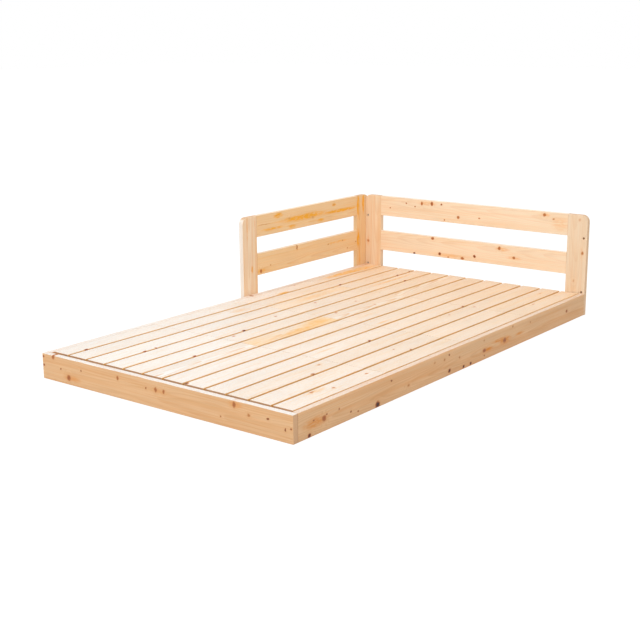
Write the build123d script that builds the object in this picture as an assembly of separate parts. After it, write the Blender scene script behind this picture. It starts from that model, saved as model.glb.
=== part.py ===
# Low slatted bed in pale softwood: a box of four boards, a slat deck in lift-out sections
# laid end to end, a two-rail headboard and a short two-rail guard on one side.
# Millimetres, +Z up. The origin is on the floor at the middle of the overall footprint.
# The foot end faces -Y, the headboard is at +Y, and the guard stands on the -X side.
import math
import os

from build123d import *

# Overall sizes of the bed box
bed_width = 1200.0
bed_length = 2060.0
box_height = 98.0
box_board = 24.0
box_round = 3.0
joint_ease = 0.8

# Headboard and guard
panel_board = 22.0
post_width = 95.0
panel_height = 450.0
rail_height = 97.0
rail_gap = 77.0
guard_length = 950.0
post_corner_radius = 30.0
panel_round = 2.0

# Deck sections and their lengthwise slats, all of one width but for the two trimmed edge slats
section_count = 4
section_gap = 0.5
slat_count = 12
first_slat_trim = 14.0
last_slat_trim = 6.0
slat_gap = 10.0
slat_thickness = 15.0
slat_round = 2.5
slat_end_round = 0.6
slat_foot_gap = 13.0
slat_head_gap = 1.0
slat_left_gap = 1.0
slat_right_gap = 5.0

# Battens under each section, ledgers, corner blocks, centre beam and its feet
batten_width = 45.0
batten_height = 30.0
batten_inset = 100.0
batten_nut_clearance = 0.5
ledger_width = 24.0
ledger_height = 30.0
block_size = 38.0
block_floor_gap = 5.0
block_top_gap = 2.0
block_rail_screw_spacing = 18.0
block_end_screw_spacing = 50.0
beam_width = 38.0
foot_count = 4
foot_height = 20.0
foot_length = 80.0
hidden_round = 1.5

# Wood screws: shank diameter, head diameter, length
slat_screw = (3.8, 7.6, 40.0)
ledger_screw = (4.2, 8.4, 40.0)
block_screw = (4.5, 9.0, 50.0)
foot_screw = (4.5, 9.0, 45.0)
screw_tip = 5.0
screw_sink = 0.5
screw_clearance = 0.1
screw_end_clearance = 1.0
ledger_screw_count = 6
ledger_screw_inset = 150.0
slat_screw_spread = 0.5

# Dowels
dowel_diameter = 8.0
dowel_length = 40.0
dowel_clearance = 0.05
dowel_end_gap = 1.0
foot_dowel_spacing = 48.0
head_dowel_spacing = 24.0
beam_dowel_spacing = 20.0
board_dowel_bite = 15.0
rail_dowel_spacing = 56.0

# Connector bolts, cap nuts and barrel nuts
bolt_diameter = 6.0
bolt_head_diameter = 15.0
bolt_head_thickness = 2.5
bolt_head_chamfer = 0.5
bolt_socket = 4.0
bolt_socket_depth = 3.5
bolt_clearance = 0.5
head_sink = 3.0
head_clearance = 0.5
cap_sleeve_diameter = 8.8
cap_sleeve_length = 18.0
cap_flange_thickness = 1.5
cap_bore_clearance = 0.1
cap_gap = 0.1
panel_bolt_length = 35.0
corner_bolt_length = 40.0
barrel_diameter = 10.0
barrel_length = 14.0
barrel_clearance = 0.15
barrel_recess = 2.5
corner_bolt_inset = 16.0
corner_bolt_heights = (104.0, 348.0)
corner_bolt_reach = 10.0
headboard_bolt_heights = (30.0, 70.0)
headboard_bolt_inset = 17.0
guard_bolt_spacing = 50.0

# Places worked out from the sizes
overall_width = bed_width + panel_board
overall_length = bed_length + panel_board
x_left = -overall_width / 2 + panel_board
x_right = overall_width / 2
y_foot = -overall_length / 2
y_head = y_foot + bed_length
y_back = overall_length / 2
inner_left = x_left + box_board
inner_right = x_right - box_board
inner_foot = y_foot + box_board
inner_head = y_head - box_board
deck_top = box_height
slat_under = deck_top - slat_thickness
batten_under = slat_under - batten_height
ledger_under = batten_under - ledger_height
x_middle = (x_left + x_right) / 2
guard_outer = x_left - panel_board
guard_front = y_back - guard_length
upper_rail_low = panel_height - rail_height
lower_rail_high = upper_rail_low - rail_gap
lower_rail_low = lower_rail_high - rail_height


def block(x, y, z):
    """A plain block between low and high values on each axis."""
    size = (x[1] - x[0], y[1] - y[0], z[1] - z[0])
    middle = ((x[0] + x[1]) / 2, (y[0] + y[1]) / 2, (z[0] + z[1]) / 2)
    return Pos(*middle) * Box(*size)


def board(x, y, z, along, long_round, end_round):
    """A board with its long edges rounded and its two ends eased."""
    solid = block(x, y, z)
    solid = fillet(solid.edges().filter_by(along), long_round)
    end_edges = solid.faces().filter_by(along).edges()
    return fillet(end_edges, end_round)


def rod(start, direction, radius, length):
    """A round bar or hole cutter that starts at a point and runs along a direction."""
    place = Plane(origin=start, z_dir=direction)
    return place * Cylinder(radius, length, align=(Align.CENTER, Align.CENTER, Align.MIN))


def screw_body(size, grow=0.0, reach=0.0):
    """A countersunk wood screw along +Z, head face at zero. Grow and reach make its hole."""
    shank, head, length = size
    shank_r = shank / 2 + grow
    head_r = head / 2 + grow
    cone = head_r - shank_r
    tip = length + reach
    outline = [(0, 0), (head_r, 0), (shank_r, cone), (shank_r, tip - screw_tip), (0, tip)]
    if grow:
        outline[:1] = [(0, -screw_sink), (head_r, -screw_sink)]
    return revolve(make_face(Plane.XZ * Polyline(*outline, close=True)), Axis.Z)


def at(start, direction):
    """The location whose +Z runs along a direction from a point."""
    return Plane(origin=start, z_dir=direction).location


def screws(size, places):
    """One solid for each place, all of one size."""
    body = screw_body(size)
    return [place * body for place in places]


def screw_holes(size, places):
    """The matching holes, with clearance on the shank and beyond the tip."""
    cutter = screw_body(size, screw_clearance, screw_end_clearance)
    return [place * cutter for place in places]


def dowel_group(centres, direction):
    """Dowels centred on points, lying along a direction."""
    half = Vector(*direction) * (dowel_length / 2)
    return [rod(Vector(*c) - half, direction, dowel_diameter / 2, dowel_length) for c in centres]


def dowel_holes(centres, direction):
    """Bores for those dowels, a little longer at each end."""
    length = dowel_length + 2 * dowel_end_gap
    half = Vector(*direction) * (length / 2)
    radius = dowel_diameter / 2 + dowel_clearance
    return [rod(Vector(*c) - half, direction, radius, length) for c in centres]


def bolt(start, direction, length):
    """A flat-headed connector bolt. It starts at its head's outer face."""
    place = Plane(origin=start, z_dir=direction)
    low = (Align.CENTER, Align.CENTER, Align.MIN)
    head = place * Cylinder(bolt_head_diameter / 2, bolt_head_thickness, align=low)
    shank = place * Cylinder(bolt_diameter / 2, bolt_head_thickness + length, align=low)
    socket = extrude(place * RegularPolygon(bolt_socket / 2, 6, major_radius=False), bolt_socket_depth)
    solid = head + shank
    rim = solid.edges().filter_by(GeomType.CIRCLE).group_by(SortBy.RADIUS)[-1]
    return chamfer(rim, bolt_head_chamfer) - socket


def bolt_hole(start, direction, length):
    """The head's counterbore and the shank's clearance hole, from the outer face of a board."""
    sink = rod(start, direction, bolt_head_diameter / 2 + head_clearance, head_sink)
    return [sink, rod(start, direction, bolt_diameter / 2 + bolt_clearance, length)]


def cap_nut(start, direction):
    """A cap nut with a flange. It starts at the flange's outer face and runs into the board."""
    place = Plane(origin=start, z_dir=direction)
    low = (Align.CENTER, Align.CENTER, Align.MIN)
    length = cap_flange_thickness + cap_sleeve_length
    flange = place * Cylinder(bolt_head_diameter / 2, cap_flange_thickness, align=low)
    sleeve = place * Cylinder(cap_sleeve_diameter / 2, length, align=low)
    bore = place * Cylinder(bolt_diameter / 2 + cap_bore_clearance, length, align=low)
    return flange + sleeve - bore


def barrel_nut(centre, axis, bore_axis):
    """A barrel nut along one axis with the bolt's bore across it."""
    start = Vector(*centre) - Vector(*axis) * (barrel_length / 2)
    body = rod(start, axis, barrel_diameter / 2, barrel_length)
    cross = Vector(*centre) - Vector(*bore_axis) * barrel_diameter
    return body - rod(cross, bore_axis, bolt_diameter / 2 + cap_bore_clearance, 2 * barrel_diameter)


def cut(solid, cutters):
    """Take away every cutter from a solid."""
    return solid - cutters if cutters else solid


def pair(middle, spacing):
    """Two values a spacing apart, about a middle."""
    return [middle - spacing / 2, middle + spacing / 2]


def spread(low, high, count):
    """Evenly spaced values from low to high, both included."""
    if count < 2:
        return [(low + high) / 2]
    return [low + (high - low) * i / (count - 1) for i in range(count)]


# Deck layout
deck_left = inner_left + slat_left_gap
deck_right = inner_right - slat_right_gap
deck_width = deck_right - deck_left
slat_pitch = (deck_width + slat_gap + first_slat_trim + last_slat_trim) / slat_count
slat_width = slat_pitch - slat_gap
slat_widths = [slat_width] * slat_count
slat_widths[0] -= first_slat_trim
slat_widths[-1] -= last_slat_trim
slat_spans = []
slat_x = deck_left
for width in slat_widths:
    slat_spans.append((slat_x, slat_x + width))
    slat_x += width + slat_gap

# The sections lie between the foot board and the headboard, over the head-end board
deck_front = inner_foot + slat_foot_gap
deck_back = y_head - slat_head_gap
section_length = (deck_back - deck_front + section_gap) / section_count - section_gap
section_lows = [deck_front + k * (section_length + section_gap) for k in range(section_count)]
section_spans = [(low, low + section_length) for low in section_lows]
batten_mids = [(low + batten_inset, high - batten_inset) for low, high in section_spans]
batten_end_gap = cap_flange_thickness + batten_nut_clearance
batten_x = (inner_left + batten_end_gap, inner_right - batten_end_gap)

# Screw places
up = (0, 0, 1)
left, right = (-1, 0, 0), (1, 0, 0)
forward, backward = (0, 1, 0), (0, -1, 0)

slat_mids = [(low + high) / 2 for low, high in slat_spans]
slat_screw_places = {}
for k in range(section_count):
    for b, y in enumerate(batten_mids[k]):
        for s, x in enumerate(slat_mids):
            side = slat_screw_spread * (batten_width / 2 - slat_screw[1]) * (-1) ** (b + s)
            slat_screw_places[k, b, s] = at((x, y + side, batten_under + screw_sink), up)

ledger_mid_z = (batten_under + ledger_under) / 2
ledger_left_x = inner_left + ledger_width
ledger_right_x = inner_right - ledger_width
ledger_y = (inner_foot + block_size + joint_ease, inner_head - block_size - joint_ease)
ledger_screw_ends = (ledger_y[0] + ledger_screw_inset, ledger_y[1] - ledger_screw_inset)
ledger_screw_y = spread(*ledger_screw_ends, ledger_screw_count)
ledger_left_places = [at((ledger_left_x - screw_sink, y, ledger_mid_z), left) for y in ledger_screw_y]
ledger_right_places = [at((ledger_right_x + screw_sink, y, ledger_mid_z), right) for y in ledger_screw_y]

foot_y = spread(batten_mids[0][0], batten_mids[-1][-1], foot_count)
foot_screw_spacing = foot_length / 2
foot_places = []
for y in foot_y:
    foot_places.append([at((x_middle, screw_y, screw_sink), up) for screw_y in pair(y, foot_screw_spacing)])


def corner_block_places(sx, sy):
    """Screws of one corner block: two into the side rail, two into the end board."""
    x_face = inner_left + block_size if sx < 0 else inner_right - block_size
    y_face = inner_foot + block_size if sy < 0 else inner_head - block_size
    x_mid = x_face + sx * block_size / 2
    y_mid = y_face + sy * block_size / 2
    rail_heights = pair(box_height / 2, block_rail_screw_spacing)
    end_heights = pair((block_floor_gap + slat_under - block_top_gap) / 2, block_end_screw_spacing)
    into_rail = [at((x_face + sx * screw_sink, y_mid, z), (sx, 0, 0)) for z in rail_heights]
    into_end = [at((x_mid, y_face + sy * screw_sink, z), (0, sy, 0)) for z in end_heights]
    return into_rail, into_end


# Dowel places: along Y into the foot board and the beam's ends, along X at the head-end board's ends
dowel_shift = dowel_length / 2 - board_dowel_bite
foot_corner_dowels = {}
head_corner_dowels = {}
for sx in (-1, 1):
    rail_face = inner_left if sx < 0 else inner_right
    rail_mid_x = rail_face + sx * box_board / 2
    foot_heights = pair(box_height / 2, foot_dowel_spacing)
    head_heights = pair(slat_under / 2, head_dowel_spacing)
    head_place = (rail_face - sx * dowel_shift, inner_head + box_board / 2)
    foot_corner_dowels[sx] = [(rail_mid_x, inner_foot + dowel_shift, z) for z in foot_heights]
    head_corner_dowels[sx] = [(*head_place, z) for z in head_heights]
beam_mid_z = (foot_height + batten_under) / 2
beam_foot_dowels = [(x, inner_foot + dowel_shift, beam_mid_z) for x in pair(x_middle, beam_dowel_spacing)]
beam_head_dowels = [(x, inner_head - dowel_shift, beam_mid_z) for x in pair(x_middle, beam_dowel_spacing)]


def rail_dowel_heights(low):
    """Heights of the two dowels in the end of a rail."""
    return pair(low + rail_height / 2, rail_dowel_spacing)


headboard_y = (y_head, y_back)
headboard_mid_y = (y_head + y_back) / 2
headboard_rail_x = (x_left + post_width, x_right - post_width)
guard_x = (guard_outer, x_left)
guard_mid_x = (guard_outer + x_left) / 2
guard_rail_y = (guard_front + post_width, y_back - post_width)
rail_lows = {"upper": upper_rail_low, "lower": lower_rail_low}
headboard_dowels = {}
guard_dowels = {}
for level, low in rail_lows.items():
    for side, x in zip(("left", "right"), headboard_rail_x):
        headboard_dowels[level, side] = [(x, headboard_mid_y, z) for z in rail_dowel_heights(low)]
    for side, y in zip(("front", "rear"), guard_rail_y):
        guard_dowels[level, side] = [(guard_mid_x, y, z) for z in rail_dowel_heights(low)]

# Bolt places
headboard_bolt_x = {"left": x_left + post_width - headboard_bolt_inset}
headboard_bolt_x["right"] = x_right - post_width + headboard_bolt_inset
guard_bolt_z = (batten_under + slat_under) / 2
guard_bolt_y = pair(guard_front + post_width / 2, guard_bolt_spacing)
panel_to_box = panel_board + box_board


def panel_bolt(outer, direction):
    """A bolt through a panel's post, sunk below the outer face."""
    start = Vector(*outer) + Vector(*direction) * (head_sink - bolt_head_thickness)
    return bolt(start, direction, panel_bolt_length)


def panel_bolt_hole(outer, direction):
    """Its hole, which runs through the post and the box board."""
    return bolt_hole(outer, direction, panel_to_box)


def sleeve_hole(outer, direction):
    """The wider hole for the cap nut's sleeve, through the box board only."""
    start = Vector(*outer) + Vector(*direction) * panel_board
    return rod(start, direction, cap_sleeve_diameter / 2 + cap_gap, box_board)


def panel_cap_nut(outer, direction):
    """The cap nut on the inner face of the box board."""
    reverse = Vector(*direction) * -1
    start = Vector(*outer) + Vector(*direction) * (panel_to_box + cap_flange_thickness)
    return cap_nut(start, reverse)


# The box
def make_foot_board():
    """The foot board: full width and full height, it covers the side rails' ends."""
    solid = board((x_left, x_right), (y_foot, inner_foot), (0, box_height), Axis.X, box_round, box_round)
    solid = cut(solid, dowel_holes(beam_foot_dowels, forward))
    for sx in (-1, 1):
        solid = cut(solid, dowel_holes(foot_corner_dowels[sx], forward))
        solid = cut(solid, screw_holes(block_screw, corner_block_places(sx, -1)[1]))
    return solid


def make_head_end_board():
    """The head-end board: between the side rails and under the slats, it carries the headboard's bolts."""
    x = (inner_left, inner_right)
    solid = board(x, (inner_head, y_head), (0, slat_under), Axis.X, hidden_round, joint_ease)
    solid = cut(solid, dowel_holes(beam_head_dowels, forward))
    for sx in (-1, 1):
        solid = cut(solid, dowel_holes(head_corner_dowels[sx], right))
        solid = cut(solid, screw_holes(block_screw, corner_block_places(sx, 1)[1]))
    for bolt_x in headboard_bolt_x.values():
        for z in headboard_bolt_heights:
            solid = cut(solid, [sleeve_hole((bolt_x, y_back, z), backward)])
    return solid


def make_side_rail(x, sx, ledger_places):
    """A side rail from the foot board to the headboard."""
    solid = board(x, (inner_foot, y_head), (0, box_height), Axis.Y, box_round, joint_ease)
    solid = cut(solid, screw_holes(ledger_screw, ledger_places))
    solid = cut(solid, dowel_holes(foot_corner_dowels[sx], forward))
    solid = cut(solid, dowel_holes(head_corner_dowels[sx], right))
    for sy in (-1, 1):
        solid = cut(solid, screw_holes(block_screw, corner_block_places(sx, sy)[0]))
    if sx < 0:
        for y in guard_bolt_y:
            solid = cut(solid, [sleeve_hole((guard_outer, y, guard_bolt_z), right)])
    return solid


def make_corner_block(sx, sy):
    """A square block glued and screwed into a corner of the box."""
    x = (inner_left, inner_left + block_size) if sx < 0 else (inner_right - block_size, inner_right)
    y = (inner_foot, inner_foot + block_size) if sy < 0 else (inner_head - block_size, inner_head)
    z = (block_floor_gap, slat_under - block_top_gap)
    solid = board(x, y, z, Axis.Z, hidden_round, hidden_round)
    into_rail, into_end = corner_block_places(sx, sy)
    return cut(solid, screw_holes(block_screw, into_rail + into_end))


def make_ledger(x, ledger_places):
    """A cleat along a side rail that carries the battens' ends."""
    solid = board(x, ledger_y, (ledger_under, batten_under), Axis.Y, hidden_round, hidden_round)
    return cut(solid, screw_holes(ledger_screw, ledger_places))


def make_beam():
    """The lengthwise beam under the middle of the battens, dowelled to the two end boards."""
    x = (x_middle - beam_width / 2, x_middle + beam_width / 2)
    solid = board(x, (inner_foot, inner_head), (foot_height, batten_under), Axis.Y, hidden_round, joint_ease)
    solid = cut(solid, dowel_holes(beam_foot_dowels + beam_head_dowels, forward))
    for places in foot_places:
        solid = cut(solid, screw_holes(foot_screw, places))
    return solid


def make_foot(i):
    """A foot block between the beam and the floor."""
    x = (x_middle - beam_width / 2, x_middle + beam_width / 2)
    y = (foot_y[i] - foot_length / 2, foot_y[i] + foot_length / 2)
    solid = board(x, y, (0, foot_height), Axis.Z, hidden_round, hidden_round)
    return cut(solid, screw_holes(foot_screw, foot_places[i]))


# The deck
def make_batten(k, b):
    """A cross batten of one deck section. It lies loose on the ledgers and the beam."""
    y = (batten_mids[k][b] - batten_width / 2, batten_mids[k][b] + batten_width / 2)
    solid = board(batten_x, y, (batten_under, slat_under), Axis.X, hidden_round, hidden_round)
    return cut(solid, screw_holes(slat_screw, [slat_screw_places[k, b, s] for s in range(slat_count)]))


def make_slat(k, s):
    """One slat of a deck section, with blind screw holes in its underside."""
    solid = block(slat_spans[s], section_spans[k], (slat_under, deck_top))
    solid = fillet(solid.edges().filter_by(Axis.Y), slat_round)
    solid = fillet(solid.faces().filter_by(Axis.Y).edges(), slat_end_round)
    return cut(solid, screw_holes(slat_screw, [slat_screw_places[k, b, s] for b in range(len(batten_mids[k]))]))


# Headboard and guard
def rounded_post(x, y, thickness_axis, corner):
    """A post from the floor up, with its first (0) or last (-1) top corner rounded in its own plane."""
    solid = block(x, y, (0, panel_height))
    top_edges = solid.faces().sort_by(Axis.Z)[-1].edges().filter_by(thickness_axis)
    ends = top_edges.sort_by(Axis.X if thickness_axis == Axis.Y else Axis.Y)
    solid = fillet(ends[corner], post_corner_radius)
    faces = solid.faces().filter_by(thickness_axis)
    return fillet(faces.edges(), panel_round)


def corner_bores(sx):
    """Barrel nut bores in the front face of a headboard post and bolt bores in its outer edge."""
    edge = x_left if sx < 0 else x_right
    cutters = []
    for z in corner_bolt_heights:
        depth = headboard_mid_y + barrel_length / 2 - y_head
        mouth = (edge - sx * corner_bolt_inset, y_head, z)
        cutters.append(rod(mouth, forward, barrel_diameter / 2 + barrel_clearance, depth))
        reach = corner_bolt_inset + corner_bolt_reach
        start = (edge, headboard_mid_y, z)
        cutters.append(rod(start, (-sx, 0, 0), bolt_diameter / 2 + bolt_clearance, reach))
    return cutters


def make_headboard_post(side):
    """A headboard post. Either one can take the guard, so both have the corner bores."""
    sx = -1 if side == "left" else 1
    x = (x_left, x_left + post_width) if sx < 0 else (x_right - post_width, x_right)
    solid = rounded_post(x, headboard_y, Axis.Y, 0 if sx < 0 else -1)
    for level in rail_lows:
        solid = cut(solid, dowel_holes(headboard_dowels[level, side], right))
    solid = cut(solid, corner_bores(sx))
    for z in headboard_bolt_heights:
        solid = cut(solid, panel_bolt_hole((headboard_bolt_x[side], y_back, z), backward))
    return solid


def make_headboard_rail(level):
    """A rail between the headboard posts."""
    z = (rail_lows[level], rail_lows[level] + rail_height)
    solid = board(headboard_rail_x, headboard_y, z, Axis.X, panel_round, joint_ease)
    for side in ("left", "right"):
        solid = cut(solid, dowel_holes(headboard_dowels[level, side], right))
    return solid


def make_guard_post(side):
    """A guard post: the front one bolts to the side rail, the rear one to the headboard's edge."""
    y_low = guard_front if side == "front" else y_back - post_width
    y = (y_low, y_low + post_width)
    solid = rounded_post(guard_x, y, Axis.X, 0 if side == "front" else -1)
    for level in rail_lows:
        solid = cut(solid, dowel_holes(guard_dowels[level, side], forward))
    if side == "front":
        for place_y in guard_bolt_y:
            solid = cut(solid, panel_bolt_hole((guard_outer, place_y, guard_bolt_z), right))
    else:
        for z in corner_bolt_heights:
            solid = cut(solid, bolt_hole((guard_outer, headboard_mid_y, z), right, panel_board))
    return solid


def make_guard_rail(level):
    """A rail between the guard posts."""
    z = (rail_lows[level], rail_lows[level] + rail_height)
    solid = board(guard_x, guard_rail_y, z, Axis.Y, panel_round, joint_ease)
    for side in ("front", "rear"):
        solid = cut(solid, dowel_holes(guard_dowels[level, side], forward))
    return solid


# Fasteners, one node for each kind
def make_corner_bolts():
    """The two bolts through the guard's rear post into the headboard's left post."""
    start_x = guard_outer + head_sink - bolt_head_thickness
    places = [(start_x, headboard_mid_y, z) for z in corner_bolt_heights]
    return [bolt(place, right, corner_bolt_length) for place in places]


def make_corner_barrel_nuts():
    """The barrel nuts that those bolts screw into."""
    places = [(x_left + corner_bolt_inset, headboard_mid_y, z) for z in corner_bolt_heights]
    return [barrel_nut(place, forward, right) for place in places]


nodes = {}
nodes["foot_board"] = make_foot_board()
nodes["head_end_board"] = make_head_end_board()
nodes["side_rail_left"] = make_side_rail((x_left, inner_left), -1, ledger_left_places)
nodes["side_rail_right"] = make_side_rail((inner_right, x_right), 1, ledger_right_places)
nodes["ledger_left"] = make_ledger((inner_left, ledger_left_x), ledger_left_places)
nodes["ledger_right"] = make_ledger((ledger_right_x, inner_right), ledger_right_places)
nodes["centre_beam"] = make_beam()

block_places = []
for end, sy in (("foot", -1), ("head", 1)):
    for side, sx in (("left", -1), ("right", 1)):
        nodes[f"corner_block_{end}_{side}"] = make_corner_block(sx, sy)
        into_rail, into_end = corner_block_places(sx, sy)
        block_places += into_rail + into_end
for i in range(foot_count):
    nodes[f"foot_block_{i + 1}"] = make_foot(i)
for k in range(section_count):
    section = f"deck_section_{k + 1}"
    nodes[f"{section}_batten_front"] = make_batten(k, 0)
    nodes[f"{section}_batten_rear"] = make_batten(k, 1)
    nodes[f"{section}_slats"] = Compound(children=[make_slat(k, s) for s in range(slat_count)])
    section_screws = [place for key, place in slat_screw_places.items() if key[0] == k]
    nodes[f"{section}_screws"] = Compound(children=screws(slat_screw, section_screws))
for side in ("left", "right"):
    nodes[f"headboard_post_{side}"] = make_headboard_post(side)
for side in ("front", "rear"):
    nodes[f"guard_post_{side}"] = make_guard_post(side)
for level in rail_lows:
    nodes[f"headboard_rail_{level}"] = make_headboard_rail(level)
    nodes[f"guard_rail_{level}"] = make_guard_rail(level)

headboard_bolt_places = [(x, y_back, z) for x in headboard_bolt_x.values() for z in headboard_bolt_heights]
guard_bolt_places = [(guard_outer, y, guard_bolt_z) for y in guard_bolt_y]
foot_dowels = foot_corner_dowels[-1] + foot_corner_dowels[1]
head_dowels = head_corner_dowels[-1] + head_corner_dowels[1]
all_headboard_dowels = [c for group in headboard_dowels.values() for c in group]
all_guard_dowels = [c for group in guard_dowels.values() for c in group]
groups = {
    "foot_corner_dowels": dowel_group(foot_dowels, forward),
    "head_corner_dowels": dowel_group(head_dowels, right),
    "beam_dowels": dowel_group(beam_foot_dowels + beam_head_dowels, forward),
    "headboard_dowels": dowel_group(all_headboard_dowels, right),
    "guard_dowels": dowel_group(all_guard_dowels, forward),
    "corner_block_screws": screws(block_screw, block_places),
    "ledger_screws": screws(ledger_screw, ledger_left_places + ledger_right_places),
    "foot_block_screws": screws(foot_screw, [p for pair in foot_places for p in pair]),
    "headboard_bolts": [panel_bolt(place, backward) for place in headboard_bolt_places],
    "headboard_cap_nuts": [panel_cap_nut(place, backward) for place in headboard_bolt_places],
    "guard_bolts": [panel_bolt(place, right) for place in guard_bolt_places],
    "guard_cap_nuts": [panel_cap_nut(place, right) for place in guard_bolt_places],
    "corner_bolts": make_corner_bolts(),
    "corner_barrel_nuts": make_corner_barrel_nuts(),
}
nodes |= {name: Compound(children=solids) for name, solids in groups.items()}

os.makedirs("parts", exist_ok=True)
for name, shape in nodes.items():
    export_step(shape, f"parts/{name}.step")
print(len(nodes), "nodes, slat widths", [round(width, 1) for width in slat_widths])
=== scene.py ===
import math

import bmesh
import bpy
from mathutils import Matrix, Vector


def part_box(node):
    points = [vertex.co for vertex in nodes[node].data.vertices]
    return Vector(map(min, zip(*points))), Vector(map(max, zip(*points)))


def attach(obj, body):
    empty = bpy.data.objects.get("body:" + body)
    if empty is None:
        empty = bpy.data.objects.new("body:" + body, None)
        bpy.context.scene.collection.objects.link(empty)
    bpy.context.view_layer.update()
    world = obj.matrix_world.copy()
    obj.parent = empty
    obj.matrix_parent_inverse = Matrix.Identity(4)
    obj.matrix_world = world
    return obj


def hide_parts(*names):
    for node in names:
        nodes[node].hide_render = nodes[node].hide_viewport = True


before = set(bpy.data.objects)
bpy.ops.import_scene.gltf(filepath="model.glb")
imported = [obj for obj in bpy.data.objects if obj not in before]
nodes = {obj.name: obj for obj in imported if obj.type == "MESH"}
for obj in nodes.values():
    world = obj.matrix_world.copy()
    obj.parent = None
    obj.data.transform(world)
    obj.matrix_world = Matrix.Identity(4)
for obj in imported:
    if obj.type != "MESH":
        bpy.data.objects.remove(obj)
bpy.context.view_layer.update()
print("frame loaded:", len(nodes), "nodes")

millimetre = 0.001
perMetre = 1000.0


# The camera stands where the photographer did, off the foot's right corner
cameraView = {
    "place": (2.74393, -3.64022, 1.25274),
    "turn": 37.91,
    "tilt": 14.22,
    "roll": 0.49,
    "lens": 64.53,
    "sensor": 36.0,
}


def placeCamera(view):
    turn, tilt, roll = (math.radians(view[key]) for key in ("turn", "tilt", "roll"))
    forward = Vector((-math.sin(turn) * math.cos(tilt), math.cos(turn) * math.cos(tilt), -math.sin(tilt)))
    right = Vector((math.cos(turn), math.sin(turn), 0))
    down = forward.cross(right)
    across = math.cos(roll) * right + math.sin(roll) * down
    up = math.sin(roll) * right - math.cos(roll) * down
    data = bpy.data.cameras.new("camera")
    data.lens = view["lens"]
    data.sensor_width = view["sensor"]
    data.sensor_fit = "HORIZONTAL"
    camera = bpy.data.objects.new("camera", data)
    turned = Matrix((across, up, -forward)).transposed().to_4x4()
    camera.matrix_world = Matrix.Translation(view["place"]) @ turned
    bpy.context.collection.objects.link(camera)
    bpy.context.scene.camera = camera


placeCamera(cameraView)
print("camera placed")


class Wire:
    # a node's output that takes part in sums, each operator adding the Math node it stands for
    def __init__(self, tree, socket):
        self.tree = tree
        self.socket = socket

    def math(self, operation, *values):
        return self.tree.node("ShaderNodeMath", {"operation": operation}, dict(enumerate(values)))

    def __add__(self, other):
        return self.math("ADD", self, other)

    def __radd__(self, other):
        return self.math("ADD", other, self)

    def __sub__(self, other):
        return self.math("SUBTRACT", self, other)

    def __rsub__(self, other):
        return self.math("SUBTRACT", other, self)

    def __mul__(self, other):
        return self.math("MULTIPLY", self, other)

    def __rmul__(self, other):
        return self.math("MULTIPLY", other, self)

    def __truediv__(self, other):
        return self.math("DIVIDE", self, other)

    def __rtruediv__(self, other):
        return self.math("DIVIDE", other, self)

    def __pow__(self, other):
        return self.math("POWER", self, other)

    def larger(self, other):
        return self.math("MAXIMUM", self, other)

    def size(self):
        return self.math("ABSOLUTE", self)

    def rest(self):
        return self.math("FRACT", self)


class Tree:
    # one node tree, for a material or for a modifier; every node comes from node()
    def __init__(self, tree):
        self.tree = tree

    def pick(self, sockets, key):
        if isinstance(key, int):
            return sockets[key]
        return next(s for s in sockets if key in (s.identifier, s.name))

    def node(self, kind, settings=None, values=None, out=0):
        made = self.tree.nodes.new(kind)
        for key, value in (settings or {}).items():
            if key == "stops":
                self.setStops(made.color_ramp, value)
            else:
                setattr(made, key, value)
        for key, value in (values or {}).items():
            self.feed(self.pick(made.inputs, key), value)
        return Wire(self, self.pick(made.outputs, out)) if len(made.outputs) else made

    def feed(self, socket, value):
        if isinstance(value, Wire):
            self.tree.links.new(value.socket, socket)
        else:
            socket.default_value = value

    def setStops(self, ramp, stops):
        for place, colour in stops[1:-1]:
            ramp.elements.new(place)
        for element, (place, colour) in zip(ramp.elements, stops):
            element.position = place
            element.color = colour

    def other(self, wire, out):
        return Wire(self, self.pick(wire.socket.node.outputs, out))


class Finish(Tree):
    # one material, with the few shader steps that every finish here is made of
    def __init__(self, name):
        self.material = bpy.data.materials.new(name)
        self.material.use_nodes = True
        self.material.node_tree.nodes.clear()
        super().__init__(self.material.node_tree)

    def parts(self, vector):
        x = self.node("ShaderNodeSeparateXYZ", values={0: vector})
        return {"x": x, "y": self.other(x, "Y"), "z": self.other(x, "Z")}

    def vector(self, x, y, z):
        return self.node("ShaderNodeCombineXYZ", values={0: x, 1: y, 2: z})

    def vectorMath(self, operation, *values, out=0):
        return self.node("ShaderNodeVectorMath", {"operation": operation}, dict(enumerate(values)), out)

    def fade(self, value, start, end, fromValue=1.0, toValue=0.0, smooth=True):
        kind = "SMOOTHSTEP" if smooth else "LINEAR"
        ends = {0: value, 1: start, 2: end, 3: fromValue, 4: toValue}
        return self.node("ShaderNodeMapRange", {"interpolation_type": kind}, ends)

    def noise(self, place, scale, detail=2.0, rough=0.5, out=0):
        values = {"Vector": place, "Scale": scale, "Detail": detail, "Roughness": rough}
        return self.node("ShaderNodeTexNoise", values=values, out=out)

    def mix(self, amount, under, over, blend="MIX"):
        values = {"Factor_Float": amount, "A_Color": under, "B_Color": over}
        settings = {"data_type": "RGBA", "blend_type": blend, "clamp_factor": True}
        return self.node("ShaderNodeMix", settings, values, "Result_Color")

    def finish(self, constant, varied):
        surface = self.node("ShaderNodeBsdfPrincipled", values={**constant, **varied})
        self.node("ShaderNodeOutputMaterial", values={"Surface": surface})
        return self.material


def screenColour(red, green, blue):
    # a colour as a screen shows it, 0 to 255, made linear
    def linear(value):
        share = value / 255
        return share / 12.92 if share <= 0.04045 else ((share + 0.055) / 1.055) ** 2.4
    return (linear(red), linear(green), linear(blue), 1.0)


# Places of the bed's corners, in millimetres, from the frame
def corner(node, low, axis):
    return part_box(node)[0 if low else 1][axis] * perMetre


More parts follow.
